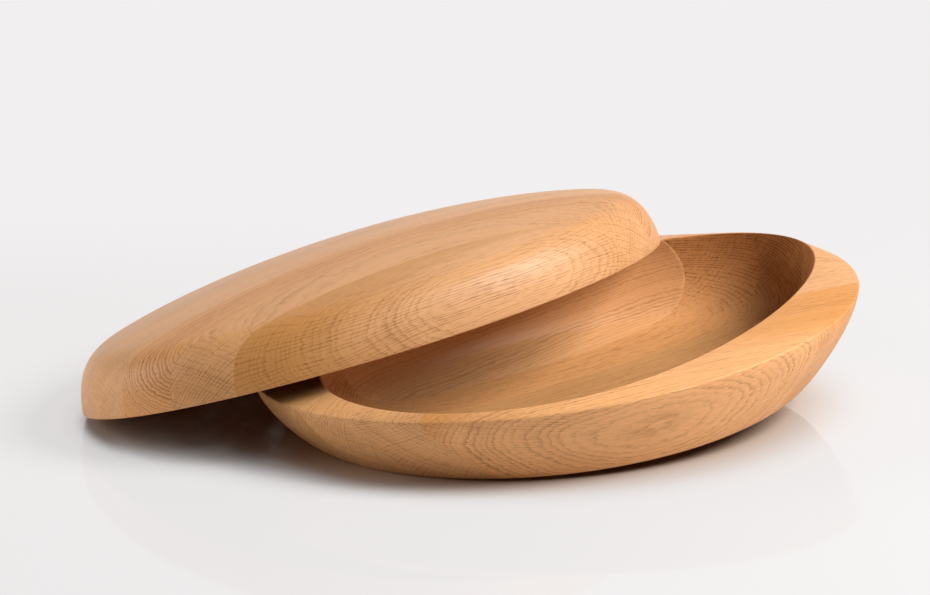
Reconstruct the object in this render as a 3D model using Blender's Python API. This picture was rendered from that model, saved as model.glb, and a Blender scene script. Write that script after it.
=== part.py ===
"""Lidded wooden bowl at real size, in metres with +Z up.

Two deep oval halves, each carved from long oak boards glued edge to edge. The bowl stands
on its sanded flat. The lid leans on the bowl, one end down on the table.

In the frame of a half, +X is its right end, +Y its back and Z = 0 the seam plane.
"""

import math

import bmesh
import bpy
from mathutils import Matrix, Vector
from mathutils.bvhtree import BVHTree
from mathutils.geometry import interpolate_bezier

# Seam oval, where the two halves meet when closed
HALF_LENGTH = 0.2001
HALF_WIDTH = 0.1322
FULLER_BACK_SHARE = 0.033

# The lid's oval is smaller than the bowl's by a worn margin
LID_END_MARGIN = 0.0012
LID_SIDE_MARGIN = 0.0008
LID_HALF_LENGTH = HALF_LENGTH - LID_END_MARGIN
LID_HALF_WIDTH = HALF_WIDTH - LID_SIDE_MARGIN

# Depth of each half at the middle of its seam. The bowl grows deeper to its right and back.
BOWL_DEPTH = 0.0616
BOWL_DEEPER_SHARES = Vector((0.019, 0.026))
LID_HEIGHT = 0.0601
LID_DEEPER_SHARES = Vector((0.0, 0.0))

# How far the deepest middle lies to the right and back of the seam oval's middle
BOWL_LEAN = Vector((0.0020, 0.0080))
LID_LEAN = Vector((-0.0005, -0.0026))

# Opening: a smaller oval inside the rim, turned on the seam oval, with a narrower right end
END_RIM_WIDTH = 0.0215
SIDE_RIM_WIDTH = 0.0312
OPENING_HALF_LENGTH = HALF_LENGTH - END_RIM_WIDTH
OPENING_HALF_WIDTH = HALF_WIDTH - SIDE_RIM_WIDTH
OPENING_TURN = math.radians(14.6)
OPENING_MIDDLE_SHARES = Vector((0.0595, -0.0620))
OPENING_FULLER_BACK_SHARE = 0.093
OPENING_WIDER_RIGHT_SHARE = -0.151

# The rim band falls outwards from the opening to the seam, so that the lid centres on it
RIM_RISE = 0.0052
EASED_EDGE = 0.0008

# Wood left between each hollow and the outside, at the middle
FLOOR_THICKNESS = 0.0106
CROWN_THICKNESS = 0.0101
BOWL_HOLLOW_DEPTH = BOWL_DEPTH - FLOOR_THICKNESS
LID_HOLLOW_HEIGHT = LID_HEIGHT - CROWN_THICKNESS

# Section curves: two Bezier stretches, from the rim over the turn to the middle.
# Each point is a share of the oval's reach and a share of the half's depth.
BOWL_END_SHARES = ((1, 0), (0.985, 0.367), (0.848, 0.781), (0.831, 0.810), (0.819, 0.831), (0.300, 1), (0, 1))
BOWL_SIDE_SHARES = ((1, 0), (1.007, 0.318), (0.906, 0.878), (0.881, 0.898), (0.777, 0.960), (0.358, 1), (0, 1))
LID_SHARES = ((1, 0), (0.989, 0.510), (0.917, 0.612), (0.853, 0.671), (0.635, 0.873), (0.294, 1), (0, 1))
HOLLOW_SHARES = ((1, 0), (0.985, 0.380), (0.920, 0.700), (0.840, 0.810), (0.720, 0.960), (0.380, 1), (0, 1))

# Glue lines across the width, at the middle of the length, and how far the glued faces go to the
# back for each step to the right and upwards. The bowl's oval is turned on its boards.
BOWL_LINE_SHARES = (-0.520, -0.247, 0.027, 0.300, 0.517, 0.787)
BOWL_SLOPE_SHARES = (0.204, 0.171)
LID_LINE_SHARES = (-0.690, -0.475, -0.232, 0.050, 0.340, 0.640)
LID_SLOPE_SHARES = (0.0, 0.0)
GLUE_GAP = 0.0003

# The bowl as photographed: turned on the table, its seam plane rising to the right and back
BOWL_TURN = math.radians(21.6)
BOWL_RISE_SHARES = Vector((0.0685, 0.0600))
BOWL_PLACE_SHARES = Vector((0.2034, 0.1051))
FLAT_DEPTH = 0.0015

# The lid as photographed: its seam plane falls to the back, and its right end rests on the bowl
LID_TURN = math.radians(26.1)
LID_RISE_BACK_SHARE = -0.185
LID_FROM_BOWL_SHARES = Vector((-0.5782, 0.3464))
SEAT_GAP = 0.0003

# Search for the lean at which the lid meets the bowl
STEEPEST_LEAN_SHARE = 0.60
LEAN_ROUNDS = 14
PROBE_STEPS = 60
NEAR_PROBE_STEPS = 12

# Facets
AROUND = 72
OUTSIDE_STEPS = 7
INSIDE_STEPS = 6
SHARP_ANGLE = math.radians(35)

# Oiled oak, board by board from the front, as linear colours
LID_COLOURS = ((0.62, 0.36, 0.16), (0.57, 0.33, 0.15), (0.60, 0.35, 0.17), (0.64, 0.39, 0.20))
BOWL_COLOURS = ((0.55, 0.29, 0.12), (0.51, 0.27, 0.12), (0.59, 0.33, 0.15), (0.48, 0.25, 0.11))
OAK_ROUGHNESS = 0.45

# Places on the table and in the oval follow the seam oval's size
OVAL_SIZE = Vector((HALF_LENGTH, HALF_WIDTH))
OPENING_MIDDLE = OVAL_SIZE * OPENING_MIDDLE_SHARES
BOWL_PLACE = OVAL_SIZE * BOWL_PLACE_SHARES
LID_PLACE = BOWL_PLACE + OVAL_SIZE * LID_FROM_BOWL_SHARES

UP = Vector((0.0, 0.0, 1.0))
BACK = Vector((0.0, 1.0, 0.0))


def clear_scene():
    """Empty the scene of every object it starts with."""
    for item in list(bpy.data.objects):
        bpy.data.objects.remove(item, do_unlink=True)


def oak(name, colour):
    """Oiled oak for one board."""
    material = bpy.data.materials.new(name)
    material.use_nodes = True
    shader = material.node_tree.nodes["Principled BSDF"]
    shader.inputs["Base Color"].default_value = (*colour, 1.0)
    shader.inputs["Roughness"].default_value = OAK_ROUGHNESS
    shader.inputs["Metallic"].default_value = 0.0
    material.diffuse_color = (*colour, 1.0)
    return material


def ring_angles():
    """Even angles around a half, from its right end."""
    return [math.tau * step / AROUND for step in range(AROUND)]


def oval(angle, half_length, half_width, fuller_back, wider_right=0.0):
    """Point of an oval that may be longer at its back and wider at its right end."""
    along = math.cos(angle)
    across = math.sin(angle)
    x = half_length * along * (1 + fuller_back * across)
    y = half_width * across * (1 + wider_right * along)
    return Vector((x, y))


def seam_ring(half_length, half_width):
    """The seam's edge."""
    return [oval(angle, half_length, half_width, FULLER_BACK_SHARE) for angle in ring_angles()]


def opening_ring():
    """The opening's edge, with its points beside those of the seam."""
    turn = Matrix.Rotation(OPENING_TURN, 2)
    size = (OPENING_HALF_LENGTH, OPENING_HALF_WIDTH)
    shape = (OPENING_FULLER_BACK_SHARE, OPENING_WIDER_RIGHT_SHARE)
    return [OPENING_MIDDLE + turn @ oval(angle - OPENING_TURN, *size, *shape) for angle in ring_angles()]


def section(shares, steps):
    """Points of a section curve, from the rim to just short of the middle."""
    knots = [Vector(pair) for pair in shares]
    wall = interpolate_bezier(*knots[0:4], steps)
    floor = interpolate_bezier(*knots[3:7], steps)
    return wall + floor[1:-1]


def wall(ring, start, depth, deeper, lean, end_shares, side_shares, steps):
    """Rings from the rim to the middle, blending the end section into the side section."""
    rings = []
    for end, side in zip(section(end_shares, steps), section(side_shares, steps)):
        level = []
        for point, angle in zip(ring, ring_angles()):
            share = end.lerp(side, math.sin(angle) ** 2)
            place = point * share.x + lean * (share.y * (2 - share.y))
            full = depth + deeper.dot(place) * math.copysign(1, depth)
            level.append(Vector((*place, start + (full - start) * share.y)))
        rings.append(level)
    return rings


def towards(ring, other, distance):
    """A ring moved by a set distance towards another ring."""
    return [point + (target - point).normalized() * distance for point, target in zip(ring, other)]


def half_shell(seam, depth, hollow, deeper, lean, end_shares, side_shares):
    """Closed mesh of one half: outer wall, eased seam, rim band, eased lip and hollow."""
    outside = wall(seam, 0.0, depth, deeper, lean, end_shares, side_shares, OUTSIDE_STEPS)
    inside = wall(opening_ring(), RIM_RISE, hollow, deeper, lean, HOLLOW_SHARES, HOLLOW_SHARES, INSIDE_STEPS)
    edge, lip = outside[0], inside[0]
    outside[0] = towards(edge, outside[1], EASED_EDGE)
    inside[0] = towards(lip, inside[1], EASED_EDGE)
    band = [towards(edge, lip, EASED_EDGE), towards(lip, edge, EASED_EDGE)]
    shell = bmesh.new()
    levels = [[shell.verts.new(point) for point in ring] for ring in outside[::-1] + band + inside]
    for lower, upper in zip(levels, levels[1:]):
        for step in range(AROUND):
            after = (step + 1) % AROUND
            shell.faces.new((lower[step], lower[after], upper[after], upper[step]))
    for level, reach in ((levels[0], depth), (levels[-1], hollow)):
        pole = shell.verts.new((*lean, reach + deeper.dot(lean) * math.copysign(1, reach)))
        for step in range(AROUND):
            shell.faces.new((level[step], level[(step + 1) % AROUND], pole))
    bmesh.ops.recalc_face_normals(shell, faces=shell.faces)
    return shell


def pose(turn, rise):
    """Turn on the table, then tip so that the seam plane rises to the right and to the back."""
    normal = Vector((-rise.x, -rise.y, 1.0))
    return UP.rotation_difference(normal).to_matrix().to_4x4() @ Matrix.Rotation(turn, 4, "Z")


def stand(shell, turned, place, sunk=0.0):
    """Where a turned half stands with its lowest point at the table, or sunk below it."""
    lowest = min((turned @ vertex.co).z for vertex in shell.verts)
    return Matrix.Translation((*place, -lowest - sunk)) @ turned


def cut_face(shell, point, normal):
    """Cut a shell by a plane, keep the side that the normal points to and close the cut."""
    everything = shell.verts[:] + shell.edges[:] + shell.faces[:]
    cut = bmesh.ops.bisect_plane(shell, geom=everything, plane_co=point, plane_no=normal, clear_inner=True)
    rim = [item for item in cut["geom_cut"] if isinstance(item, bmesh.types.BMEdge)]
    bmesh.ops.contextual_create(shell, geom=rim)


def smallest_gap(bowl_tree, lid_tree):
    """Least height of the lid over the bowl, over a grid and then close around its lowest place."""
    middle = BOWL_PLACE.copy()
    reach = HALF_LENGTH
    lowest = math.inf
    for steps in (PROBE_STEPS, NEAR_PROBE_STEPS, NEAR_PROBE_STEPS):
        pace = 2 * reach / steps
        corner = middle - Vector((reach, reach))
        for column in range(steps + 1):
            for row in range(steps + 1):
                place = corner + Vector((column, row)) * pace
                top = bowl_tree.ray_cast(Vector((*place, HALF_LENGTH)), -UP)[0]
                under = lid_tree.ray_cast(Vector((*place, -HALF_LENGTH)), UP)[0]
                if top and under and under.z - top.z < lowest:
                    lowest = under.z - top.z
                    middle = place
        reach = pace
    return lowest


def placed_tree(shell, placed):
    """Search tree of a half where it stands."""
    copy = shell.copy()
    copy.transform(placed)
    tree = BVHTree.FromBMesh(copy)
    copy.free()
    return tree


def lean_lid(lid, bowl, bowl_placed):
    """Lower the lid's right end until it meets the bowl, its other end staying on the table."""
    bowl_tree = placed_tree(bowl, bowl_placed)
    low, high = 0.0, STEEPEST_LEAN_SHARE
    for _ in range(LEAN_ROUNDS):
        rise = (low + high) / 2
        placed = stand(lid, pose(LID_TURN, Vector((rise, LID_RISE_BACK_SHARE))), LID_PLACE)
        if smallest_gap(bowl_tree, placed_tree(lid, placed)) > SEAT_GAP:
            high = rise
        else:
            low = rise
    return stand(lid, pose(LID_TURN, Vector((high, LID_RISE_BACK_SHARE))), LID_PLACE)


def holder(name, placed):
    """Empty that carries the boards of one half."""
    item = bpy.data.objects.new(name, None)
    item.empty_display_size = HALF_WIDTH
    item.location = placed.to_translation()
    item.rotation_euler = placed.to_euler()
    bpy.context.scene.collection.objects.link(item)
    return item


def board(name, shell, front, back, face_way, colour, carrier):
    """One board: the part of a half between two glued faces along the grain."""
    piece = shell.copy()
    middle = (front + back) / 2
    half_gap = face_way * (GLUE_GAP / 2)
    cut_face(piece, BACK * front + half_gap, face_way)
    cut_face(piece, BACK * back - half_gap, -face_way)
    piece.transform(Matrix.Translation(BACK * -middle))
    bmesh.ops.triangulate(piece, faces=piece.faces, ngon_method="BEAUTY")
    bmesh.ops.recalc_face_normals(piece, faces=piece.faces)
    if piece.calc_volume(signed=True) < 0:
        bmesh.ops.reverse_faces(piece, faces=piece.faces)
    mesh = bpy.data.meshes.new(name)
    piece.to_mesh(mesh)
    piece.free()
    mesh.shade_smooth()
    mesh.set_sharp_from_angle(angle=SHARP_ANGLE)
    mesh.materials.append(oak(name + "_oak", colour))
    item = bpy.data.objects.new(name, mesh)
    item.parent = carrier
    item.location = BACK * middle
    bpy.context.scene.collection.objects.link(item)


def boards(half, shell, line_shares, slope_shares, colours, carrier):
    """The boards of one half, numbered from its front."""
    slope_right, slope_up = slope_shares
    face_way = Vector((-slope_right, 1.0, -slope_up)).normalized()
    lines = [HALF_WIDTH * share for share in line_shares]
    fronts = [-2 * HALF_WIDTH] + lines
    backs = lines + [2 * HALF_WIDTH]
    for number, (front, back) in enumerate(zip(fronts, backs)):
        colour = colours[number % len(colours)]
        board(f"{half}_board_{number + 1}", shell, front, back, face_way, colour, carrier)


def main():
    clear_scene()
    bowl = half_shell(
        seam_ring(HALF_LENGTH, HALF_WIDTH),
        -BOWL_DEPTH,
        -BOWL_HOLLOW_DEPTH,
        BOWL_DEEPER_SHARES,
        BOWL_LEAN,
        BOWL_END_SHARES,
        BOWL_SIDE_SHARES,
    )
    lid = half_shell(
        seam_ring(LID_HALF_LENGTH, LID_HALF_WIDTH),
        LID_HEIGHT,
        LID_HOLLOW_HEIGHT,
        LID_DEEPER_SHARES,
        LID_LEAN,
        LID_SHARES,
        LID_SHARES,
    )
    bowl_placed = stand(bowl, pose(BOWL_TURN, BOWL_RISE_SHARES), BOWL_PLACE, FLAT_DEPTH)
    table = bowl_placed.inverted()
    cut_face(bowl, table.to_translation(), table.to_3x3() @ UP)
    lid_placed = lean_lid(lid, bowl, bowl_placed)
    bowl_place = holder("bowl_place", bowl_placed)
    lid_place = holder("lid_place", lid_placed)
    boards("bowl", bowl, BOWL_LINE_SHARES, BOWL_SLOPE_SHARES, BOWL_COLOURS, bowl_place)
    boards("lid", lid, LID_LINE_SHARES, LID_SLOPE_SHARES, LID_COLOURS, lid_place)
    bowl.free()
    lid.free()


main()
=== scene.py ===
import math
from typing import NamedTuple

import bmesh
import bpy
from bpy.props import FloatProperty, FloatVectorProperty, IntProperty, PointerProperty
from mathutils import Euler, Matrix, Vector


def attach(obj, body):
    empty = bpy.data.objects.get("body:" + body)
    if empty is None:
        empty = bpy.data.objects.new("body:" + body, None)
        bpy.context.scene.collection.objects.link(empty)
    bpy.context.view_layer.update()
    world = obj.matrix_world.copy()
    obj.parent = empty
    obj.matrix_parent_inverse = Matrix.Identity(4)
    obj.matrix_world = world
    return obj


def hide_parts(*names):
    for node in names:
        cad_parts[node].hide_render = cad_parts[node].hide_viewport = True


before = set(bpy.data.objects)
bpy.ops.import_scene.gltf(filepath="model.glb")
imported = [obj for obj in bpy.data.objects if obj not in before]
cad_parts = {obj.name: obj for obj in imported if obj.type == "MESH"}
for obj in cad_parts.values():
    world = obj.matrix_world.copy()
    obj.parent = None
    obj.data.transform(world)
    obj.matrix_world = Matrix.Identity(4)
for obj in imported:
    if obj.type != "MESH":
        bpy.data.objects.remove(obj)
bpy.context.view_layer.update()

bl_info = {
    "name": "Lidded Oak Bowl",
    "version": (1, 0, 0),
    "blender": (4, 5, 0),
    "location": "3D View > Sidebar > Oak Bowl",
    "description": "Oval oak bowl and lid carved from glued boards, on a pale table",
    "category": "Add Mesh",
}

# Section curves: two Bezier stretches, from the rim over the turn to the middle.
# Each point is a share of the oval's reach and a share of the half's depth.
BOWL_END_SHARES = (
    (1, 0), (0.985, 0.367), (0.848, 0.781), (0.831, 0.810),
    (0.819, 0.831), (0.300, 1), (0, 1),
)
BOWL_SIDE_SHARES = (
    (1, 0), (1.007, 0.318), (0.906, 0.878), (0.881, 0.898),
    (0.777, 0.960), (0.358, 1), (0, 1),
)
LID_SHARES = (
    (1, 0), (0.989, 0.510), (0.917, 0.612), (0.853, 0.671),
    (0.635, 0.873), (0.294, 1), (0, 1),
)
HOLLOW_SHARES = (
    (1, 0), (0.985, 0.380), (0.920, 0.700), (0.840, 0.810),
    (0.720, 0.960), (0.380, 1), (0, 1),
)

# Glue lines at the middle of the length, as shares of the bowl's half width, and how far the glued
# faces go to the back for each step to the right and upwards. The bowl's oval is turned on its
# boards.
BOWL_LINE_SHARES = (-0.520, -0.247, 0.027, 0.300, 0.517, 0.787)
BOWL_SLOPES = (0.204, 0.171)
LID_LINE_SHARES = (-0.690, -0.475, -0.232, 0.050, 0.340, 0.640)
LID_SLOPES = (0.0, 0.0)

# Where each half stands, as the part's source works it out: place, then turn about X, Y and Z
BOWL_PLACE = Matrix.LocRotScale(
    Vector((0.0407, 0.013894, 0.061609)),
    Euler((0.030561, -0.085528, 0.375683)),
    None,
)
LID_PLACE = Matrix.LocRotScale(
    Vector((-0.074997, 0.059688, 0.046675)),
    Euler((-0.276598, -0.151731, 0.47669)),
    None,
)

# Axes of a half's frame, and of a tree's frame with the grain along X
ALONG = Vector((1.0, 0.0, 0.0))
BACK = Vector((0.0, 1.0, 0.0))
UP = Vector((0.0, 0.0, 1.0))

# Middle of a noise, and from a grid's middle to its edge
MIDDLE = 0.5

# The Mix node's sockets for colours, which share their names with those for numbers
MIX_SHARE = 0
MIX_FIRST = 6
MIX_SECOND = 7
MIX_RESULT = 2

# Mesh: points welded, edges eased or shaded as sharp, and facets of an eased edge
WELD_DISTANCE = 1e-5
EASED_ANGLE = math.radians(30)
SHARP_ANGLE = math.radians(35)
EASING_FACETS = 4


class BoardOak(NamedTuple):
    """Wood of one board.

    heart_mm: the tree's heart in the half's frame
    slope_degrees: the grain's slope to the back and upwards
    tone: what the plain oak's red, green and blue are multiplied by
    gold_mm: distances from the heart where golden wood starts and is full
    rings, side_rays, end_rays, pores: how strong each is, rays on the side and on the end grain
    """

    heart_mm: tuple
    slope_degrees: tuple
    tone: tuple
    gold_mm: tuple
    rings: float
    side_rays: float
    end_rays: float
    pores: float


# Boards from the front to the back
BOWL_WOOD = (
    BoardOak((15, -178, -48), (3, 0), (1.16, 1.00, 0.81), (84, 110), 1.4, 0.8, 1.6, 0.9),
    BoardOak((0, -140, 30), (10, 1), (1.04, 0.91, 0.75), (200, 260), 1.2, 1.2, 2.0, 0.9),
    BoardOak((0, -90, 110), (10, 2), (1.04, 0.91, 0.75), (200, 260), 1.0, 0.8, 1.6, 0.9),
    BoardOak((-60, 120, 40), (11, 1), (0.90, 0.78, 0.60), (200, 260), 1.0, 1.0, 2.4, 1.0),
    BoardOak((-60, 170, 20), (10, 1), (1.00, 0.82, 0.62), (200, 260), 0.7, 1.5, 2.4, 1.6),
    BoardOak((0, 30, -150), (12, 3), (1.08, 0.94, 0.80), (170, 200), 1.3, 0.2, 0.3, 0.5),
    BoardOak((0, 30, -90), (11, 0), (0.95, 0.84, 0.68), (200, 260), 0.8, 0.4, 0.8, 0.8),
)
LID_WOOD = (
    BoardOak((36, -187, 30), (8.5, 0), (1.00, 0.90, 0.81), (66, 100), 1.0, 1.3, 1.0, 0.9),
    BoardOak((-150, -36, -40), (2, 1), (0.94, 0.81, 0.66), (200, 260), 0.8, 0.4, 3.2, 0.8),
    BoardOak((-147, -80, 45), (1, 2), (0.98, 0.80, 0.60), (200, 260), 2.2, 0.2, 0.3, 0.6),
    BoardOak((-150, -120, -60), (1, 0), (0.99, 0.89, 0.80), (200, 260), 0.6, 0.2, 0.8, 1.1),
    BoardOak((0, 60, 110), (-1, 1), (0.96, 0.89, 0.83), (200, 260), 0.6, 0.2, 0.8, 0.8),
    BoardOak((0, 30, -110), (1, 1), (0.95, 0.88, 0.83), (200, 260), 0.6, 0.2, 0.8, 0.8),
    BoardOak((0, 180, 20), (1, 0), (0.95, 0.89, 0.84), (200, 260), 0.9, 0.4, 0.8, 0.7),
)

# A millimetre in metres. The oak's features are in millimetres, as wood is measured.
MM = 0.001

# Size of each feature along the grain, then across it
SWAY_SIZE = (100.0, 33.3333, 33.3333)
RIPPLE_SIZE = (8.0, 3.0, 3.0)
PORE_SIZE = (7.0, 0.8, 0.8)
FIBRE_SIZE = (24.0, 1.0, 1.0)
CLOUD_SIZE = (80.0, 20.0, 20.0)
DRIFT_SIZE = (60.0, 7.0, 60.0)
YEAR_SIZE = (400.0, 7.0)
RAY_SIZE = (22.0, 9.0)

# How far the trunk and the edge of its golden wood stray, in millimetres
SWAY = 7.0
GOLD_WANDER = 14.0

# How far rings and rays stray, in rings and rays
YEAR_WANDER = 2.4
RIPPLE_WANDER = 0.9
RAY_WANDER = 2.0

# What keeps the boards, their rings and their rays apart in the noises
BOARD_SHIFT = 370.0
YEAR_SHIFT = 3.3
RING_SHIFT = 91.7
RAY_SHIFT = 7.3

# Darkness of a ring from one year's start to the next, and how far one ring differs from another
EARLY_WOOD = (
    (0.0, 0.6), (0.08, 1.0), (0.22, 0.5), (0.50, 0.14),
    (0.80, 0.0), (0.93, 0.1), (1.0, 0.6),
)
RING_LEAST = 0.3
RING_RANGE = 0.8

# Noise levels between which pores and rays come, and how far from its sheet a ray fades
PORE_LEVELS = (0.52, 0.68)
RAY_LEVELS = (0.34, 0.58)
RAY_WIDTHS = (0.05, 0.42)

# Share of the pores outside the early wood, and of the rays lost where they lie flat
PORES_OUT_OF_RING = 0.4
RAY_LOST_ON_FLAT = 0.85

# Share of each feature in the wood's darkness, what is taken off it in all, and the most of the
# golden wood in the colour
RING_SHADE = 0.34
PORE_SHADE = 0.34
RAY_SHADE = 0.42
FIBRE_SHADE = 0.46
CLOUD_SHADE = 0.30
YEAR_SHADE = 0.34
END_SHADE = 0.10
LIGHTER = 0.03
GOLD_SHARE = 0.85

# Surface of the oiled wood: roughness, dents of its features, and gloss
SMOOTHER_LATE = 0.06
ROUGHER_EARLY = 0.14
RING_DENT = 0.3
PORE_DENT = 0.5
RAY_DENT = 0.3
BUMP_STRENGTH = 0.2
BUMP_HEIGHT = 0.0002
OIL_IOR = 1.45
OIL_SPECULAR = 0.3

# Table: half its size, its lacquer, and how far off the wood shades it
TABLE_REACH = 6.0
TABLE_CELLS = 8
LACQUER_ROUGHNESS = 0.05
LACQUER_IOR = 1.45
SHADE_REACH = 0.09
SHADE_SAMPLES = 16

# Open shares between which the painted shadow gives way to the plain table and the painted glow
# comes, and that glow at its full
# The painted shadow is warm as a painted reflection of the wood; the painted glow lifts the lamps'
# shadows on the open table
PAINTED_SHADOW_OPEN_SHARES = (0.1, 0.75)
PAINTED_GLOW_OPEN_SHARES = (0.36, 0.78)
PAINTED_GLOW_SHARE = 0.68

# Where the table turns into the wall, in metres to the back
WALL_START = 0.20
WALL_FULL = 0.45

# Even light of the room
ROOM_COLOUR = (1.0, 0.99, 0.98, 1.0)

# Soft square lamps: azimuth, where 0 is the right and 90 the back, elevation, and width in metres
LAMPS = {
    "key_lamp": (-12, 42, 0.9),
    "fill_lamp": (185, 18, 1.1),
    "back_lamp": (100, 40, 0.9),
}
LAMP_AIM = Vector((0.0, 0.03, 0.05))
LAMP_DISTANCE = 2.0
LAMP_BOUNCES = 1

# Camera: width of its sensor, and the nearest and the furthest that it sees, in metres
SENSOR_MM = 36.0
CLIP_START = 1.0
CLIP_END = 200.0

# Named inputs of the half's node tree
INPUTS = {
    "Half Length": "NodeSocketFloat",
    "Half Width": "NodeSocketFloat",
    "Fuller Back": "NodeSocketFloat",
    "Depth": "NodeSocketFloat",
    "Hollow Depth": "NodeSocketFloat",
    "Rim Rise": "NodeSocketFloat",
    "Deeper": "NodeSocketVector",
    "Lean": "NodeSocketVector",
    "Opening Half Length": "NodeSocketFloat",
    "Opening Half Width": "NodeSocketFloat",
    "Opening Middle": "NodeSocketVector",
    "Opening Turn": "NodeSocketFloat",
    "Opening Fuller Back": "NodeSocketFloat",
    "Opening Wider Right": "NodeSocketFloat",
    "Around": "NodeSocketInt",
    "Steps": "NodeSocketInt",
    "Oak": "NodeSocketMaterial",
}


class Wire:
    """A node's output that takes part in Python expressions."""

    def __init__(self, net, socket):
        self.net = net
        self.socket = socket

    def beside(self, name):
        """Another output of the same node."""
        return Wire(self.net, self.socket.node.outputs[name])

    def math(self, operation, *others):
        """One Math node on this value."""
        values = dict(enumerate((self, *others)))
        return self.net.add("ShaderNodeMath", {"operation": operation}, values)

    def __add__(self, other):
        return self.math("ADD", other)

    __radd__ = __add__

    def __sub__(self, other):
        return self.math("SUBTRACT", other)

    def __rsub__(self, other):
        return self.net.add("ShaderNodeMath", {"operation": "SUBTRACT"}, {0: other, 1: self})

    def __mul__(self, other):
        return self.math("MULTIPLY", other)

    __rmul__ = __mul__

    def __truediv__(self, other):
        return self.math("DIVIDE", other)

    def __pow__(self, other):
        return self.math("POWER", other)


class Net:
    """Adds nodes to one tree."""

    def __init__(self, tree):
        self.tree = tree
        tree.nodes.clear()

    def add(self, kind, settings=None, values=None, out=0):
        """A node with its settings, then the values or links of its inputs; gives one output."""
        node = self.tree.nodes.new(kind)
        for name, value in (settings or {}).items():
            if name == "stops":
                self.ramp(node.color_ramp, value)
            else:
                setattr(node, name, value)
        for name, value in (values or {}).items():
            if isinstance(value, Wire):
                self.tree.links.new(value.socket, node.inputs[name])
            else:
                node.inputs[name].default_value = value
        return Wire(self, node.outputs[out]) if node.outputs else node

    def ramp(self, ramp, stops):
        """Stops of a ramp, as place and grey level."""
        while len(ramp.elements) < len(stops):
            ramp.elements.new(1.0)
        for element, (place, level) in zip(ramp.elements, stops):
            element.position = place
            element.color = (level, level, level, 1.0)

    def split(self, vector):
        """X, Y and Z of a vector."""
        parts = self.add("ShaderNodeSeparateXYZ", values={"Vector": vector})
        return [parts.beside(axis) for axis in "XYZ"]

    def join(self, x, y, z):
        """A vector of three numbers."""
        return self.add("ShaderNodeCombineXYZ", values={"X": x, "Y": y, "Z": z})

    def noise(self, vector, detail=2.0, out=0):
        """Noise at one feature per unit."""
        values = {"Vector": vector, "Scale": 1.0, "Detail": detail, "Roughness": 0.5}
        return self.add("ShaderNodeTexNoise", {"noise_dimensions": "3D"}, values, out)

    def sized_noise(self, place, size, detail=1.0, out=0):
        """Noise whose features have a size along each axis."""
        parts = [axis / length for axis, length in zip(place, size)]
        return self.noise(self.join(*parts), detail, out=out)

    def step(self, value, low, high, to_low=0.0, to_high=1.0):
        """Soft step from one level to another."""
        limits = {
            "Value": value,
            "From Min": low,
            "From Max": high,
            "To Min": to_low,
            "To Max": to_high,
        }
        return self.add("ShaderNodeMapRange", {"interpolation_type": "SMOOTHSTEP"}, limits)

    def blend(self, share, first, second):
        """Mix of two colours."""
        settings = {"data_type": "RGBA", "clamp_factor": True}
        values = {MIX_SHARE: share, MIX_FIRST: first, MIX_SECOND: second}
        return self.add("ShaderNodeMix", settings, values, out=MIX_RESULT)


def bezier(t, knots):
    """One Bezier stretch of numbers, at t."""
    first, second, third, fourth = knots
    cube = fourth - 3 * third + 3 * second - first
    square = 3 * (third - 2 * second + first)
    line = 3 * (second - first)
    return ((cube * t + square) * t + line) * t + first


def section(t, shares):
    """Reach and depth shares along a section curve, from 0 at the rim to 1 at the middle."""
    wall = (2 * t).math("MINIMUM", 1.0)
    floor = (2 * t - 1).math("MAXIMUM", 0.0)
    pairs = []
    for axis in (0, 1):
        knots = [pair[axis] for pair in shares]
        pairs.append(bezier(wall, knots[0:4]) + bezier(floor, knots[3:7]) - knots[3])
    return pairs


def oval(angle, half_length, half_width, fuller_back, wider_right):
    """Point of an oval that may be longer at its back and wider at its right end."""
    along = angle.math("COSINE")
    across = angle.math("SINE")
    x = half_length * along * (1 + fuller_back * across)
    y = half_width * across * (1 + wider_right * along)
    return x, y


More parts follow.
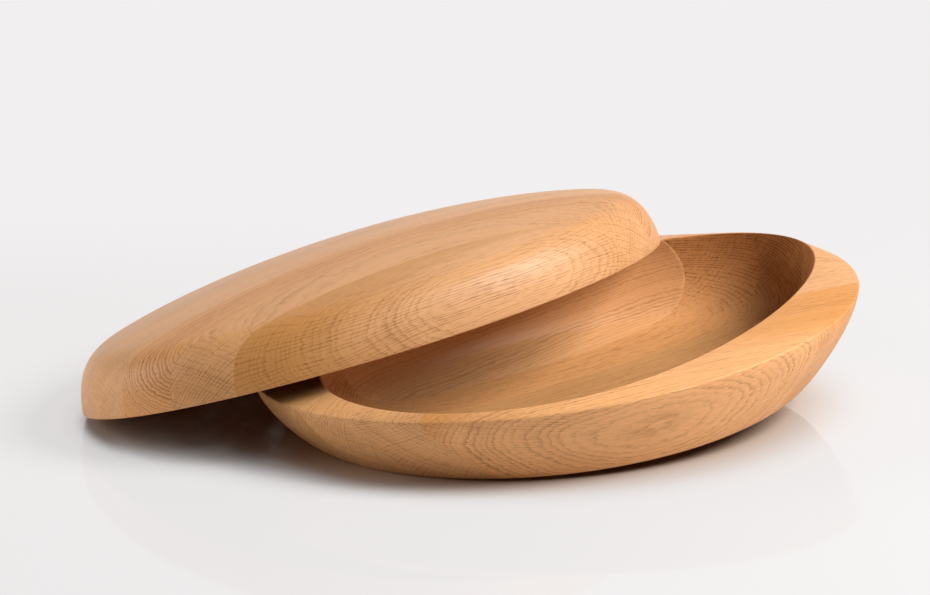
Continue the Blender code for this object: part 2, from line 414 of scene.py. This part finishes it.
def shell_tree(end_shares, side_shares):
    """Geometry nodes of one half: outer wall, rim band and hollow on one oval's angle."""
    tree = bpy.data.node_groups.new("carved_half", "GeometryNodeTree")
    face = tree.interface
    sockets = {
        name: face.new_socket(name=name, in_out="INPUT", socket_type=kind)
        for name, kind in INPUTS.items()
    }
    face.new_socket(name="Half", in_out="OUTPUT", socket_type="NodeSocketGeometry")
    net = Net(tree)
    group = tree.nodes.new("NodeGroupInput")
    given = {name: Wire(net, group.outputs[name]) for name in INPUTS}

    place = net.add("GeometryNodeInputPosition")
    grid_x, grid_y, _ = net.split(place)
    angle = (grid_x + MIDDLE) * math.tau
    t = grid_y + MIDDLE
    side_share = angle.math("SINE") ** 2.0
    seam = oval(angle, given["Half Length"], given["Half Width"], given["Fuller Back"], 0.0)
    turn = given["Opening Turn"]
    opening = oval(
        angle - turn,
        given["Opening Half Length"],
        given["Opening Half Width"],
        given["Opening Fuller Back"],
        given["Opening Wider Right"],
    )
    cosine, sine = turn.math("COSINE"), turn.math("SINE")
    middle_x, middle_y, _ = net.split(given["Opening Middle"])
    lip = (
        middle_x + cosine * opening[0] - sine * opening[1],
        middle_y + sine * opening[0] + cosine * opening[1],
    )
    deeper_x, deeper_y, _ = net.split(given["Deeper"])
    lean_x, lean_y, _ = net.split(given["Lean"])

    def surface(position, columns, rows):
        """Grid laid out along a formula for its points."""
        grid = net.add("GeometryNodeMeshGrid", values={"Vertices X": columns, "Vertices Y": rows})
        return net.add("GeometryNodeSetPosition", values={"Geometry": grid, "Position": position})

    def wall(ring, start, depth, end, side):
        """Point of a wall whose section turns from the end's to the side's around the oval."""
        reach = end[0] + (side[0] - end[0]) * side_share
        sunk = end[1] + (side[1] - end[1]) * side_share
        carried = sunk * (2 - sunk)
        x = ring[0] * reach + lean_x * carried
        y = ring[1] * reach + lean_y * carried
        full = depth + (deeper_x * x + deeper_y * y) * depth.math("SIGN")
        return net.join(x, y, start + (full - start) * sunk)

    around = given["Around"] + 1
    hollow = section(t, HOLLOW_SHARES)
    outside = wall(seam, 0.0, given["Depth"], section(t, end_shares), section(t, side_shares))
    inside = wall(lip, given["Rim Rise"], given["Hollow Depth"], hollow, hollow)
    band = net.join(
        seam[0] + (lip[0] - seam[0]) * t,
        seam[1] + (lip[1] - seam[1]) * t,
        given["Rim Rise"] * t,
    )
    joined = tree.nodes.new("GeometryNodeJoinGeometry")
    for form, rows in ((outside, given["Steps"]), (inside, given["Steps"]), (band, 2)):
        tree.links.new(surface(form, around, rows).socket, joined.inputs[0])
    merged = net.add(
        "GeometryNodeMergeByDistance",
        values={"Geometry": Wire(net, joined.outputs[0]), "Distance": WELD_DISTANCE},
    )
    real = net.add("GeometryNodeRealizeInstances", values={"Geometry": merged})
    oiled = net.add("GeometryNodeSetMaterial", values={"Geometry": real, "Material": given["Oak"]})
    net.add("NodeGroupOutput", values={"Half": oiled})
    return tree, {name: socket.identifier for name, socket in sockets.items()}


def carve(name, inputs, end_shares, side_shares):
    """Closed mesh of one half in its own frame, with eased seam and lip."""
    tree, sockets = shell_tree(end_shares, side_shares)
    block = bpy.data.objects.new(name, bpy.data.meshes.new(name))
    bpy.context.scene.collection.objects.link(block)
    modifier = block.modifiers.new("carve", "NODES")
    modifier.node_group = tree
    for label, value in inputs.items():
        modifier[sockets[label]] = value
    graph = bpy.context.evaluated_depsgraph_get()
    mesh = bpy.data.meshes.new_from_object(block.evaluated_get(graph))
    block.modifiers.remove(modifier)
    bpy.data.objects.remove(block, do_unlink=True)
    shell = bmesh.new()
    shell.from_mesh(mesh)
    bpy.data.meshes.remove(mesh)
    if not shell.faces or any(not edge.is_manifold for edge in shell.edges):
        raise RuntimeError(f"{name} isn't a closed shell")
    bmesh.ops.recalc_face_normals(shell, faces=shell.faces)
    bmesh.ops.bevel(
        shell,
        geom=[edge for edge in shell.edges if edge.calc_face_angle(0.0) > EASED_ANGLE],
        offset=bpy.context.scene.oak_bowl_finish.eased_edge,
        offset_type="OFFSET",
        segments=EASING_FACETS,
        profile=0.5,
        affect="EDGES",
        clamp_overlap=True,
    )
    bmesh.ops.recalc_face_normals(shell, faces=shell.faces)
    return shell


def cut_face(shell, point, normal):
    """Cut a shell by a plane, keep the side that the normal points to and close the cut."""
    cut = bmesh.ops.bisect_plane(
        shell,
        geom=shell.verts[:] + shell.edges[:] + shell.faces[:],
        plane_co=point,
        plane_no=normal,
        clear_inner=True,
    )
    rim = [item for item in cut["geom_cut"] if isinstance(item, bmesh.types.BMEdge)]
    bmesh.ops.contextual_create(shell, geom=rim)


def lay_boards(half, shell, placed, lines, slopes, oaks):
    """Saw a half into its boards and put each in its place."""
    face_way = Vector((-slopes[0], 1.0, -slopes[1])).normalized()
    half_gap = face_way * (bpy.context.scene.oak_bowl_finish.glue_gap / 2)
    last = len(oaks)
    for number, (front, back, board_oak) in enumerate(zip(lines, lines[1:], oaks), 1):
        piece = shell.copy()
        if number > 1:
            cut_face(piece, BACK * front + half_gap, face_way)
        if number < last:
            cut_face(piece, BACK * back - half_gap, -face_way)
        piece.transform(placed)
        bmesh.ops.recalc_face_normals(piece, faces=piece.faces)
        if not piece.faces:
            raise RuntimeError(f"board {number} of the {half} came out empty")
        if piece.calc_volume(signed=True) < 0:
            bmesh.ops.reverse_faces(piece, faces=piece.faces)
        mesh = bpy.data.meshes.new(f"carved_{half}_board_{number}")
        piece.to_mesh(mesh)
        piece.free()
        mesh.materials.clear()
        mesh.materials.append(board_oak)
        mesh.shade_smooth()
        mesh.set_sharp_from_angle(angle=SHARP_ANGLE)
        board = bpy.data.objects.new(mesh.name, mesh)
        bpy.context.scene.collection.objects.link(board)
        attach(board, half)
        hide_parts(f"{half}_board_{number}")


def opaque(colour):
    """A colour with its alpha."""
    return (*colour, 1.0)


def tree_frame(placed, wood, outwards):
    """Frame of the tree: X along the grain, Y from the heart towards the board."""
    slope_back, slope_up = (math.radians(degrees) for degrees in wood.slope_degrees)
    heart = Matrix.Translation(Vector(wood.heart_mm) * MM)
    sloped = Euler((0.0, -slope_up, slope_back)).to_matrix().to_4x4()
    swing_to_board = Matrix.Rotation(math.atan2(outwards.y, outwards.x), 4, "X")
    return placed @ heart @ sloped @ swing_to_board


def place_in_tree(net, tree, seed):
    """Place in the tree's frame, in millimetres, with the slow sway of the trunk."""
    in_tree = net.add(
        "ShaderNodeMapping",
        {"vector_type": "TEXTURE"},
        {
            "Vector": net.add("ShaderNodeTexCoord", out="Object"),
            "Location": tree.to_translation(),
            "Rotation": tree.to_euler(),
            "Scale": (MM, MM, MM),
        },
    )
    x, y, z = net.split(in_tree)
    x = x + BOARD_SHIFT * seed
    sway_y, sway_z, _ = net.split(net.sized_noise((x, y, z), SWAY_SIZE, out="Color"))
    return x, y + (sway_y - MIDDLE) * SWAY, z + (sway_z - MIDDLE) * SWAY


def early_wood(net, place, radius, year, seed):
    """Yearly rings: a dark line of early wood that fades through the late wood."""
    ripple = net.sized_noise(place, RIPPLE_SIZE)
    wander = (year - MIDDLE) * YEAR_WANDER
    spacing = bpy.context.scene.oak_bowl_finish.ring_spacing_mm
    phase = radius / spacing + wander + (ripple - MIDDLE) * RIPPLE_WANDER
    ring_seed = phase.math("FLOOR") + RING_SHIFT * seed
    strong = net.add("ShaderNodeTexWhiteNoise", {"noise_dimensions": "1D"}, {"W": ring_seed})
    early = net.add("ShaderNodeValToRGB", {"stops": EARLY_WOOD}, {"Fac": phase.math("FRACT")})
    return early * (strong * RING_RANGE + RING_LEAST)


def rays(net, place, radius, board_radius):
    """Rays: thin broken sheets that stand on the heart."""
    x, y, z = place
    swing = z.math("ARCTAN2", y) * board_radius
    drift = net.sized_noise((x, swing, radius), DRIFT_SIZE)
    spacing = bpy.context.scene.oak_bowl_finish.ray_spacing_mm
    sheet = swing / spacing + (drift - MIDDLE) * RAY_WANDER
    off_sheet = ((sheet.math("FRACT") - MIDDLE) * 2.0).math("ABSOLUTE")
    sheet_shift = sheet.math("FLOOR") * RAY_SHIFT
    length, height = RAY_SIZE
    kept = net.noise(net.join(x / length, sheet_shift, radius / height), detail=2.0)
    return (1 - net.step(off_sheet, *RAY_WIDTHS)) * net.step(kept, *RAY_LEVELS)


def oak(name, placed, middle_mm, wood, seed):
    """Oiled oak of one board, with rings, pores and rays round the tree's heart.

    middle_mm: the board's middle in the half's frame, to the back and upwards
    """
    look = bpy.context.scene.oak_bowl_finish
    material = bpy.data.materials.new(name)
    material.use_nodes = True
    net = Net(material.node_tree)
    outwards = Vector(middle_mm) - Vector(wood.heart_mm[1:])
    tree = tree_frame(placed, wood, outwards)
    place = place_in_tree(net, tree, seed)
    x, y, z = place
    radius = (y * y + z * z).math("SQRT")

    # Rings, with pores that are long along the grain, and fine fibres
    along, across = YEAR_SIZE
    year = net.noise(net.join(radius / across, x / along, YEAR_SHIFT * seed), detail=1.0)
    early = early_wood(net, place, radius, year, seed)
    pores = net.step(net.sized_noise(place, PORE_SIZE), *PORE_LEVELS)
    pores = pores * (early * (1 - PORES_OUT_OF_RING) + PORES_OUT_OF_RING)
    fibre = net.sized_noise(place, FIBRE_SIZE, detail=2.0)
    normal = net.add("ShaderNodeNewGeometry", out="Normal")

    def facing(axis):
        """How far the surface faces along an axis of the tree."""
        values = {0: normal, 1: tree.to_3x3() @ axis}
        return net.add("ShaderNodeVectorMath", {"operation": "DOT_PRODUCT"}, values, out="Value")

    # Rays, which end grain and side show in their own strength
    end = facing(ALONG) ** 2.0
    flat = (facing(UP) * y - facing(BACK) * z) / radius
    ray = rays(net, place, radius, outwards.length)
    ray = ray * (1 - RAY_LOST_ON_FLAT * flat * flat)
    ray = ray * (end * (wood.end_rays - wood.side_rays) + wood.side_rays)

    # Tone of the board, slow along the grain
    cloud = net.sized_noise(place, CLOUD_SIZE, detail=2.0)
    gold = net.step(radius + (cloud - MIDDLE) * GOLD_WANDER, *wood.gold_mm)

    def toned(colour):
        """A colour of the plain oak in this board's tone."""
        return opaque(channel * share for channel, share in zip(colour, wood.tone))

    ground = net.blend(gold * GOLD_SHARE, toned(look.pale_oak), toned(look.golden_oak))
    shade = (
        early * (RING_SHADE * wood.rings)
        + pores * (PORE_SHADE * wood.pores)
        + ray * RAY_SHADE
        + (fibre - MIDDLE) * FIBRE_SHADE
        + (cloud - MIDDLE) * CLOUD_SHADE
        + (year - MIDDLE) * YEAR_SHADE
        + end * END_SHADE
        - LIGHTER
    )
    smooth, coarse = look.roughness - SMOOTHER_LATE, look.roughness + ROUGHER_EARLY
    surface = 1 - early * RING_DENT - pores * PORE_DENT - ray * RAY_DENT
    bump = {"Strength": BUMP_STRENGTH, "Distance": BUMP_HEIGHT, "Height": surface}
    shader = net.add(
        "ShaderNodeBsdfPrincipled",
        values={
            "Base Color": net.blend(shade, ground, toned(look.dark_oak)),
            "Roughness": net.step(shade, 0.0, 1.0, smooth, coarse),
            "IOR": OIL_IOR,
            "Specular IOR Level": OIL_SPECULAR,
            "Normal": net.add("ShaderNodeBump", values=bump),
        },
    )
    net.add("ShaderNodeOutputMaterial", values={"Surface": shader})
    material.diffuse_color = toned(look.pale_oak)
    return material


def board_lines(half_width, shares):
    """Front of the first board, the glue lines and back of the last board."""
    return [-half_width, *(half_width * share for share in shares), half_width]


def board_oaks(half, placed, lines, depth, woods, first_seed):
    """One oak for each board of a half."""
    oaks = []
    for number, (front, back, wood) in enumerate(zip(lines, lines[1:], woods), 1):
        middle_mm = ((front + back) / 2 / MM, depth / 2 / MM)
        oaks.append(oak(f"{half}_oak_{number}", placed, middle_mm, wood, first_seed + number))
    return oaks


def inputs_of(half, opening, blank_oak, down):
    """Inputs of the half's node tree. The bowl goes down from its seam, and the lid up."""
    way = -1.0 if down else 1.0
    return {
        "Half Length": half.half_length,
        "Half Width": half.half_width,
        "Fuller Back": half.fuller_back,
        "Depth": way * half.depth,
        "Hollow Depth": way * half.hollow_depth,
        "Rim Rise": opening.rim_rise,
        "Deeper": Vector((*half.deeper, 0.0)),
        "Lean": Vector((*half.lean, 0.0)),
        "Opening Half Length": opening.half_length,
        "Opening Half Width": opening.half_width,
        "Opening Middle": Vector((*opening.middle, 0.0)),
        "Opening Turn": opening.turn,
        "Opening Fuller Back": opening.fuller_back,
        "Opening Wider Right": opening.wider_right,
        "Around": opening.around,
        "Steps": opening.steps,
        "Oak": blank_oak,
    }


class OakBowlLower(bpy.types.PropertyGroup):
    """Sizes of the bowl, the lower half."""

    half_length: FloatProperty(
        name="Half Length",
        description="Middle to end of the seam oval",
        default=0.2001,
        unit="LENGTH",
    )
    half_width: FloatProperty(
        name="Half Width",
        description="Middle to side of the seam oval",
        default=0.1322,
        unit="LENGTH",
    )
    fuller_back: FloatProperty(
        name="Fuller Back", description="Share by which the back is longer", default=0.033
    )
    depth: FloatProperty(
        name="Depth", description="Seam plane to underside", default=0.0616, unit="LENGTH"
    )
    hollow_depth: FloatProperty(
        name="Hollow Depth",
        description="Seam plane to the hollow's floor",
        default=0.0510,
        unit="LENGTH",
    )
    deeper: FloatVectorProperty(
        name="Deeper",
        description="Growth in depth to the right and back",
        size=2,
        default=(0.019, 0.026),
    )
    lean: FloatVectorProperty(
        name="Lean",
        description="Shift of the deepest middle",
        size=2,
        default=(0.0020, 0.0080),
        unit="LENGTH",
    )


class OakBowlLid(bpy.types.PropertyGroup):
    """Sizes of the lid, the upper half."""

    half_length: FloatProperty(
        name="Half Length",
        description="Middle to end of the seam oval",
        default=0.1989,
        unit="LENGTH",
    )
    half_width: FloatProperty(
        name="Half Width",
        description="Middle to side of the seam oval",
        default=0.1314,
        unit="LENGTH",
    )
    fuller_back: FloatProperty(
        name="Fuller Back", description="Share by which the back is longer", default=0.033
    )
    depth: FloatProperty(
        name="Height",
        description="Seam plane to the top of the dome",
        default=0.0601,
        unit="LENGTH",
    )
    hollow_depth: FloatProperty(
        name="Hollow Height",
        description="Seam plane to the hollow's roof",
        default=0.0500,
        unit="LENGTH",
    )
    deeper: FloatVectorProperty(
        name="Deeper",
        description="Growth in height to the right and back",
        size=2,
        default=(0.0, 0.0),
    )
    lean: FloatVectorProperty(
        name="Lean",
        description="Shift of the highest middle",
        size=2,
        default=(-0.0005, -0.0026),
        unit="LENGTH",
    )


class OakBowlOpening(bpy.types.PropertyGroup):
    """The opening and the facets that both halves share."""

    half_length: FloatProperty(
        name="Half Length",
        description="Middle to end of the opening",
        default=0.1786,
        unit="LENGTH",
    )
    half_width: FloatProperty(
        name="Half Width",
        description="Middle to side of the opening",
        default=0.1010,
        unit="LENGTH",
    )
    middle: FloatVectorProperty(
        name="Middle",
        description="The opening's middle in the seam oval",
        size=2,
        default=(0.011906, -0.008196),
        unit="LENGTH",
    )
    turn: FloatProperty(
        name="Turn",
        description="Turn of the opening in the seam oval",
        default=math.radians(14.6),
        subtype="ANGLE",
    )
    fuller_back: FloatProperty(
        name="Fuller Back", description="Share by which the back is longer", default=0.093
    )
    wider_right: FloatProperty(
        name="Wider Right", description="Share by which the right end is wider", default=-0.151
    )
    rim_rise: FloatProperty(
        name="Rim Rise",
        description="Rise of the rim band to the opening",
        default=0.0052,
        unit="LENGTH",
    )
    around: IntProperty(name="Around", description="Facets around a half", default=256, min=24)
    steps: IntProperty(
        name="Steps", description="Rows from the rim to the middle", default=44, min=6
    )


class OakBowlFinish(bpy.types.PropertyGroup):
    """Edges, glue lines and oiled oak."""

    eased_edge: FloatProperty(
        name="Eased Edge",
        description="Rounding of the seam and the lip",
        default=0.0011,
        unit="LENGTH",
    )
    glue_gap: FloatProperty(
        name="Glue Gap",
        description="Space between two boards",
        default=0.00006,
        precision=5,
        unit="LENGTH",
    )
    ring_spacing_mm: FloatProperty(
        name="Ring Spacing", description="One year's growth, in millimetres", default=2.0
    )
    ray_spacing_mm: FloatProperty(
        name="Ray Spacing", description="Between two rays, in millimetres", default=1.9
    )
    roughness: FloatProperty(
        name="Roughness", description="Roughness of the oiled wood", default=0.46, subtype="FACTOR"
    )
    pale_oak: FloatVectorProperty(
        name="Pale Oak", description="Late wood", subtype="COLOR", default=(0.80, 0.46, 0.23)
    )
    golden_oak: FloatVectorProperty(
        name="Golden Oak",
        description="Late wood further out",
        subtype="COLOR",
        default=(0.62, 0.30, 0.085),
    )
    dark_oak: FloatVectorProperty(
        name="Dark Oak",
        description="Early wood and pores",
        subtype="COLOR",
        default=(0.30, 0.12, 0.035),
    )


class OakBowlStage(bpy.types.PropertyGroup):
    """Table, lamps and camera."""

    table_colour: FloatVectorProperty(
        name="Table", description="Pale table", subtype="COLOR", default=(0.84, 0.82, 0.81)
    )
    # Painted shadow on the table close to the wood, warm as a painted reflection of the wood
    painted_shadow_colour: FloatVectorProperty(
        name="Table Beside Wood",
        description="Warm tint close to the wood",
        subtype="COLOR",
        default=(0.62, 0.42, 0.29),
    )
    wall_colour: FloatVectorProperty(
        name="Wall", description="Pale wall behind", subtype="COLOR", default=(0.885, 0.865, 0.868)
    )
    key_power: FloatProperty(
        name="Key Power", description="Soft lamp at the right", default=52.0, unit="POWER"
    )
    fill_power: FloatProperty(
        name="Fill Power", description="Soft lamp at the left", default=19.0, unit="POWER"
    )
    back_power: FloatProperty(
        name="Back Power", description="Soft lamp behind", default=2.0, unit="POWER"
    )
    room_light: FloatProperty(
        name="Room Light", description="Even light of the room", default=0.03
    )
    camera_distance: FloatProperty(
        name="Camera Distance", description="Camera to its aim", default=16.0, unit="LENGTH"
    )
    camera_elevation: FloatProperty(
        name="Camera Elevation",
        description="Angle above the table",
        default=0.334793,
        subtype="ANGLE",
    )
    picture_width: FloatProperty(
        name="Picture Width", description="Width seen at the aim", default=0.595341, unit="LENGTH"
    )
    aim: FloatVectorProperty(
        name="Aim",
        description="Where the camera looks",
        size=3,
        default=(-0.018223, 0.251944, 0.0),
        unit="LENGTH",
    )


class OAKBOWL_OT_bowl(bpy.types.Operator):
    """Carve the bowl and lay its seven boards"""

    bl_idname = "oakbowl.bowl"
    bl_label = "Bowl Boards"

    def execute(self, context):
        scene = context.scene
        lines = board_lines(scene.oak_bowl_lower.half_width, BOWL_LINE_SHARES)
        depth = -scene.oak_bowl_lower.depth
        oaks = board_oaks("bowl", BOWL_PLACE, lines, depth, BOWL_WOOD, first_seed=0)
        inputs = inputs_of(scene.oak_bowl_lower, scene.oak_bowl_opening, oaks[0], down=True)
        shell = carve("bowl_blank", inputs, BOWL_END_SHARES, BOWL_SIDE_SHARES)
        table = BOWL_PLACE.inverted()
        cut_face(shell, table.to_translation(), table.to_3x3() @ UP)
        lay_boards("bowl", shell, BOWL_PLACE, lines, BOWL_SLOPES, oaks)
        shell.free()
        return {"FINISHED"}


class OAKBOWL_OT_lid(bpy.types.Operator):
    """Carve the lid and lay its seven boards, leaning on the bowl"""

    bl_idname = "oakbowl.lid"
    bl_label = "Lid Boards"

    def execute(self, context):
        scene = context.scene
        lines = board_lines(scene.oak_bowl_lower.half_width, LID_LINE_SHARES)
        depth = scene.oak_bowl_lid.depth
        oaks = board_oaks("lid", LID_PLACE, lines, depth, LID_WOOD, first_seed=len(BOWL_WOOD))
        inputs = inputs_of(scene.oak_bowl_lid, scene.oak_bowl_opening, oaks[0], down=False)
        shell = carve("lid_blank", inputs, LID_SHARES, LID_SHARES)
        lay_boards("lid", shell, LID_PLACE, lines, LID_SLOPES, oaks)
        shell.free()
        return {"FINISHED"}


def area_lamp(name, azimuth, elevation, width, power):
    """Square soft lamp that the camera doesn't see."""
    turn, rise = math.radians(azimuth), math.radians(elevation)
    level = math.cos(rise)
    way = Vector((math.cos(turn) * level, math.sin(turn) * level, math.sin(rise)))
    lamp = bpy.data.lights.new(name, "AREA")
    lamp.energy = power
    lamp.size = width
    lamp.cycles.max_bounces = LAMP_BOUNCES
    item = bpy.data.objects.new(name, lamp)
    item.visible_camera = False
    item.location = LAMP_AIM + way * LAMP_DISTANCE
    item.rotation_mode = "QUATERNION"
    item.rotation_quaternion = (-way).to_track_quat("-Z", "Y")
    bpy.context.scene.collection.objects.link(item)


def seen_directly(net):
    """1 for camera, glossy and transmission rays."""
    camera_ray = net.add("ShaderNodeLightPath", out="Is Camera Ray")
    seen = camera_ray.math("MAXIMUM", camera_ray.beside("Is Glossy Ray"))
    return seen.math("MAXIMUM", camera_ray.beside("Is Transmission Ray"))


def table_material(look):
    """Pale lacquered table with painted shadow near the wood and a painted glow in the open,
    fading into an even wall behind the object.
    """
    material = bpy.data.materials.new("pale_table")
    material.use_nodes = True
    net = Net(material.node_tree)
    open_share = net.add(
        "ShaderNodeAmbientOcclusion",
        {"samples": SHADE_SAMPLES},
        {"Distance": SHADE_REACH},
        out="AO",
    )
    # Painted shadow: the table takes the warm painted shadow colour where the wood closes it in
    plain = net.step(open_share, *PAINTED_SHADOW_OPEN_SHARES)
    lacquer = net.add(
        "ShaderNodeBsdfPrincipled",
        values={
            "Base Color": net.blend(plain, opaque(look.painted_shadow_colour), opaque(look.table_colour)),
            "Roughness": LACQUER_ROUGHNESS,
            "IOR": LACQUER_IOR,
        },
    )
    emission = {"Color": opaque(look.wall_colour), "Strength": 1.0}
    wall = net.add("ShaderNodeEmission", values=emission)
    _, y, _ = net.split(net.add("ShaderNodeTexCoord", out="Object"))
    behind = net.step(y, WALL_START, WALL_FULL)
    # Painted glow: seen directly, the open table glows in the wall's colour, which lifts the
    # lamps' shadows; it fades out close to the wood
    painted_glow = net.step(open_share, *PAINTED_GLOW_OPEN_SHARES, 0.0, PAINTED_GLOW_SHARE)
    share = (behind + painted_glow * (1 - behind)) * seen_directly(net)
    both = net.add("ShaderNodeMixShader", values={0: share, 1: lacquer, 2: wall})
    net.add("ShaderNodeOutputMaterial", values={"Surface": both})
    return material


def room(look):
    """World that lights the object evenly and shows as a pale wall."""
    world = bpy.data.worlds.new("pale_room")
    world.use_nodes = True
    net = Net(world.node_tree)
    light = {"Color": ROOM_COLOUR, "Strength": look.room_light}
    shown = {"Color": opaque(look.wall_colour), "Strength": 1.0}
    even = net.add("ShaderNodeBackground", values=light)
    wall = net.add("ShaderNodeBackground", values=shown)
    both = net.add("ShaderNodeMixShader", values={0: seen_directly(net), 1: even, 2: wall})
    net.add("ShaderNodeOutputWorld", values={"Surface": both})
    bpy.context.scene.world = world


def photograph_camera(look):
    """Camera far off with a long lens, level along the object's X."""
    view = bpy.data.cameras.new("camera")
    view.sensor_width = SENSOR_MM
    view.lens = SENSOR_MM * look.camera_distance / look.picture_width
    view.clip_start = CLIP_START
    view.clip_end = CLIP_END
    camera = bpy.data.objects.new("camera", view)
    back = Vector((0.0, -math.cos(look.camera_elevation), math.sin(look.camera_elevation)))
    camera.location = Vector(look.aim) + back * look.camera_distance
    camera.rotation_mode = "QUATERNION"
    camera.rotation_quaternion = (-back).to_track_quat("-Z", "Y")
    bpy.context.scene.collection.objects.link(camera)
    bpy.context.scene.camera = camera


class OAKBOWL_OT_stage(bpy.types.Operator):
    """Set the table, the lamps and the camera"""

    bl_idname = "oakbowl.stage"
    bl_label = "Stage"

    def execute(self, context):
        scene = context.scene
        look = scene.oak_bowl_stage
        plane = bmesh.new()
        bmesh.ops.create_grid(
            plane, x_segments=TABLE_CELLS, y_segments=TABLE_CELLS, size=TABLE_REACH
        )
        mesh = bpy.data.meshes.new("table")
        plane.to_mesh(mesh)
        plane.free()
        mesh.materials.append(table_material(look))
        table = bpy.data.objects.new("table", mesh)
        scene.collection.objects.link(table)

        powers = (look.key_power, look.fill_power, look.back_power)
        for (name, lamp), power in zip(LAMPS.items(), powers):
            area_lamp(name, *lamp, power)
        room(look)
        photograph_camera(look)
        scene.view_settings.view_transform = "Standard"
        return {"FINISHED"}


class OAKBOWL_PT_panel(bpy.types.Panel):
    """Steps of the lidded oak bowl"""

    bl_idname = "OAKBOWL_PT_panel"
    bl_label = "Lidded Oak Bowl"
    bl_space_type = "VIEW_3D"
    bl_region_type = "UI"
    bl_category = "Oak Bowl"

    def draw(self, context):
        column = self.layout.column(align=True)
        for operator in OPERATORS:
            column.operator(operator.bl_idname)


SETTINGS = {
    "oak_bowl_lower": OakBowlLower,
    "oak_bowl_lid": OakBowlLid,
    "oak_bowl_opening": OakBowlOpening,
    "oak_bowl_finish": OakBowlFinish,
    "oak_bowl_stage": OakBowlStage,
}
OPERATORS = (OAKBOWL_OT_bowl, OAKBOWL_OT_lid, OAKBOWL_OT_stage)
CLASSES = (*SETTINGS.values(), *OPERATORS, OAKBOWL_PT_panel)


def register():
    """Make the classes known and give the scene its settings."""
    for item in CLASSES:
        bpy.utils.register_class(item)
    for name, kind in SETTINGS.items():
        setattr(bpy.types.Scene, name, PointerProperty(type=kind))


def unregister():
    """Take the settings and the classes away again."""
    for name in SETTINGS:
        delattr(bpy.types.Scene, name)
    for item in reversed(CLASSES):
        bpy.utils.unregister_class(item)


def main():
    """Build both halves and the stage."""
    register()
    bpy.ops.oakbowl.bowl()
    bpy.ops.oakbowl.lid()
    bpy.ops.oakbowl.stage()


if __name__ == "__main__":
    main()
